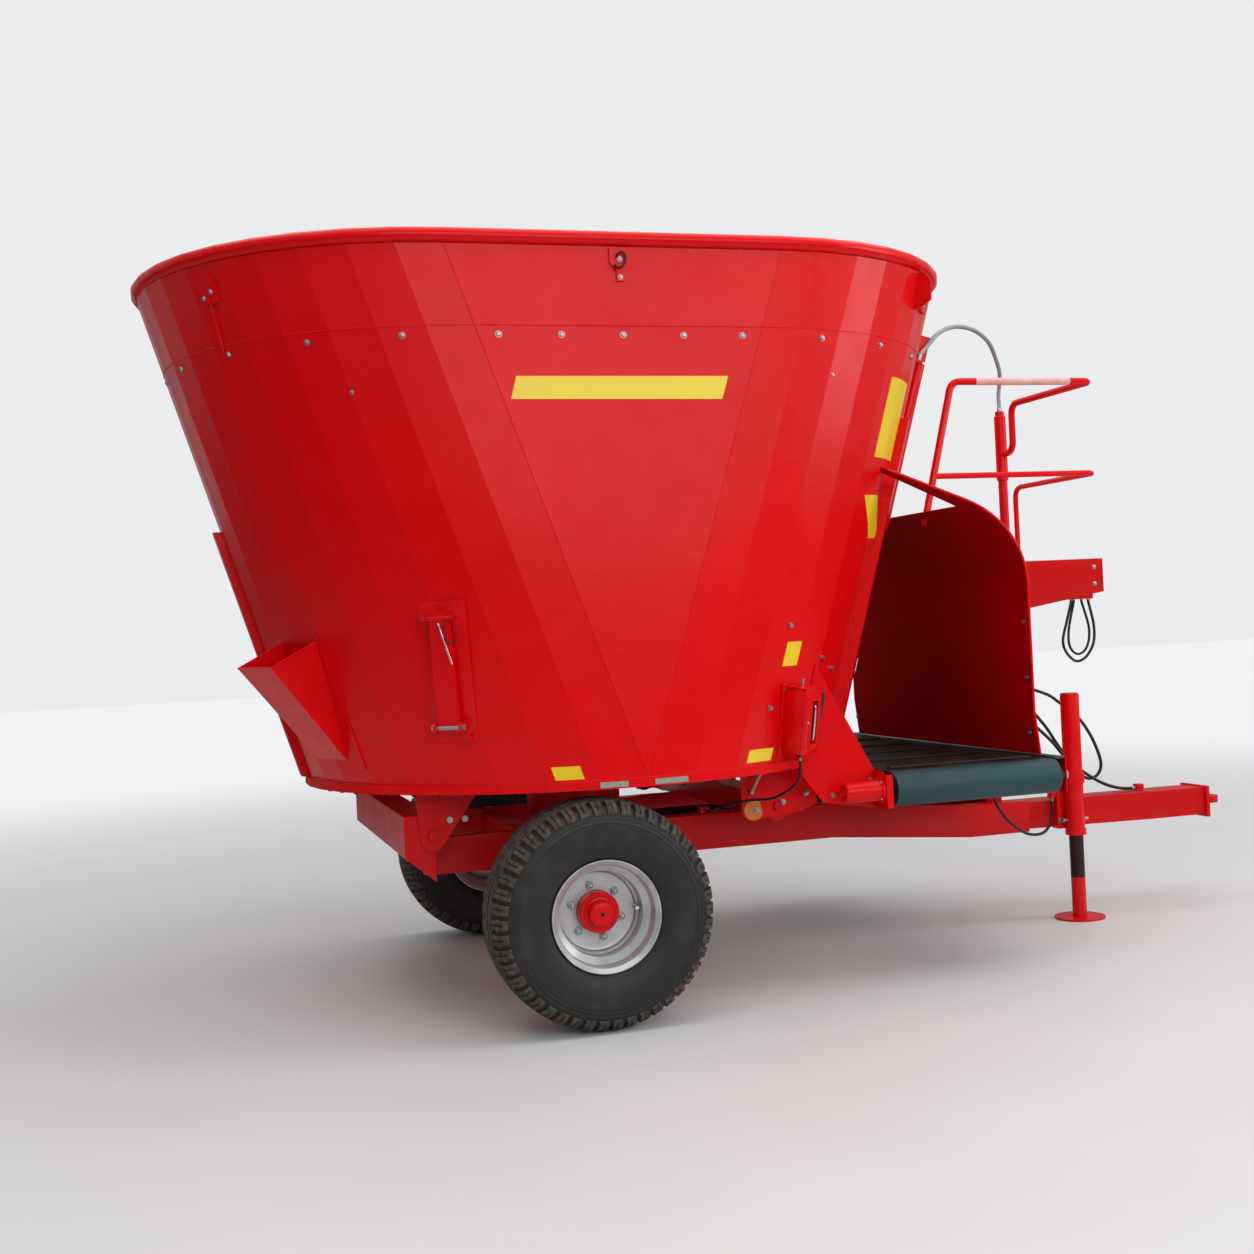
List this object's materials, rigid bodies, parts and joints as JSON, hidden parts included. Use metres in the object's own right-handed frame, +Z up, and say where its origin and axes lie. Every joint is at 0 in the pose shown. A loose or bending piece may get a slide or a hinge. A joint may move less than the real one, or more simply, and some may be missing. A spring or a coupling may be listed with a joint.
{
  "type": "vertical feed mixer wagon",
  "caption": "Towed single-auger feed mixer wagon: faceted flaring tub, lifting doors, front cross conveyor under a hood, drawbar with ring eye and parking jack, platform and two wheels",
  "frame": {"origin": "on the ground under the middle of the overall length, on the wagon's centre line", "axes": "+X forward to the hitch eye, +Y to the wagon's left, +Z up"},
  "size_m": [5.2096, 2.441, 3.0453],
  "materials": {
    "auger_steel": "worn",
    "red_chassis_paint": "gloss",
    "belt_rubber": "matt",
    "red_paint": "gloss",
    "green_paint": "satin",
    "black_plastic": "matt",
    "stainless": "brushed",
    "chrome": "polished",
    "rim_paint": "satin silver",
    "tyre_rubber": "matt"
  },
  "bodies": {
    "wagon": {"axle_beam": "red_chassis_paint", "chassis_rail_left": "red_chassis_paint", "chassis_rail_right": "red_chassis_paint", "conveyor_belt": "belt_rubber", "conveyor_frame": "red_chassis_paint", "conveyor_hood": "red_paint", "conveyor_motor": "red_paint", "conveyor_roller_left": "green_paint", "conveyor_roller_right": "green_paint", "counter_knife_plate_left": "red_paint", "counter_knife_plate_right": "red_paint", "cross_member": "red_chassis_paint", "door_indicator_box": "red_paint", "drawbar": "red_chassis_paint", "drive_bearing": "red_chassis_paint", "drive_shaft": "black_plastic", "front_door_cylinder": "red_paint", "front_door_frame": "red_paint", "front_support_beam": "red_chassis_paint", "gearbox": "red_chassis_paint", "handrail": "red_paint", "hitch_eye": "red_chassis_paint", "jack_tube": "red_paint", "ladder": "red_paint", "mineral_hopper": "red_paint", "platform": "red_chassis_paint", "rear_door_cylinder": "red_paint", "rear_door_frame": "red_paint", "rear_support_beam": "red_chassis_paint", "tub_bottom_ring": "red_paint", "tub_extension_ring": "red_paint", "tub_floor": "red_paint", "tub_front_shell": "red_paint", "tub_left_panel": "red_paint", "tub_rear_shell": "red_paint", "tub_right_panel": "red_paint", "tub_rim_tube": "red_paint"},
    "wheel_right": {"tyre_right": "tyre_rubber", "rim_right": "rim_paint", "hub_right": "red_paint"},
    "wheel_left": {"tyre_left": "tyre_rubber", "rim_left": "rim_paint", "hub_left": "red_paint"},
    "mixing_auger": {"auger": "auger_steel"},
    "front_gate": {"front_door": "stainless", "front_door_rod": "chrome"},
    "rear_gate": {"rear_door": "red_paint", "rear_door_rod": "chrome"},
    "knife_right": {"counter_knife_right": "red_paint"},
    "knife_left": {"counter_knife_left": "red_paint"},
    "parking_leg": {"jack_leg": "red_paint"}
  },
  "joints": [
    {"name": "wheel_right_spin", "type": "hinge", "parent": "wagon", "child": "wheel_right", "pos_m": [-1.0045, -1.067, 0.4385], "axis": [0, 1, 0], "continuous": true},
    {"name": "wheel_left_spin", "type": "hinge", "parent": "wagon", "child": "wheel_left", "pos_m": [-1.0045, 1.067, 0.4385], "axis": [0, 1, 0], "continuous": true},
    {"name": "auger_spin", "type": "hinge", "parent": "wagon", "child": "mixing_auger", "pos_m": [-0.8025, 0, 1], "axis": [0, 0, 1], "continuous": true},
    {"name": "front_gate_slide", "type": "slide", "parent": "wagon", "child": "front_gate", "axis": [0.2897, 0, 0.9571], "range_m": [0, 0.6]},
    {"name": "rear_gate_slide", "type": "slide", "parent": "wagon", "child": "rear_gate", "axis": [-0.2925, -0.0131, 0.9562], "range_m": [0, 0.56]},
    {"name": "knife_right_swing", "type": "hinge", "parent": "wagon", "child": "knife_right", "pos_m": [-1.5322, -0.9974, 1.174], "axis": [0.8372, -0.5469, 0], "range_deg": [0, 60]},
    {"name": "knife_left_swing", "type": "hinge", "parent": "wagon", "child": "knife_left", "pos_m": [-0.2458, 1.0912, 1.1759], "axis": [-0.9158, 0.4017, 0], "range_deg": [0, 60]},
    {"name": "parking_leg_slide", "type": "slide", "parent": "wagon", "child": "parking_leg", "axis": [0, 0, 1], "range_m": [0, 0.35]}
  ]
}
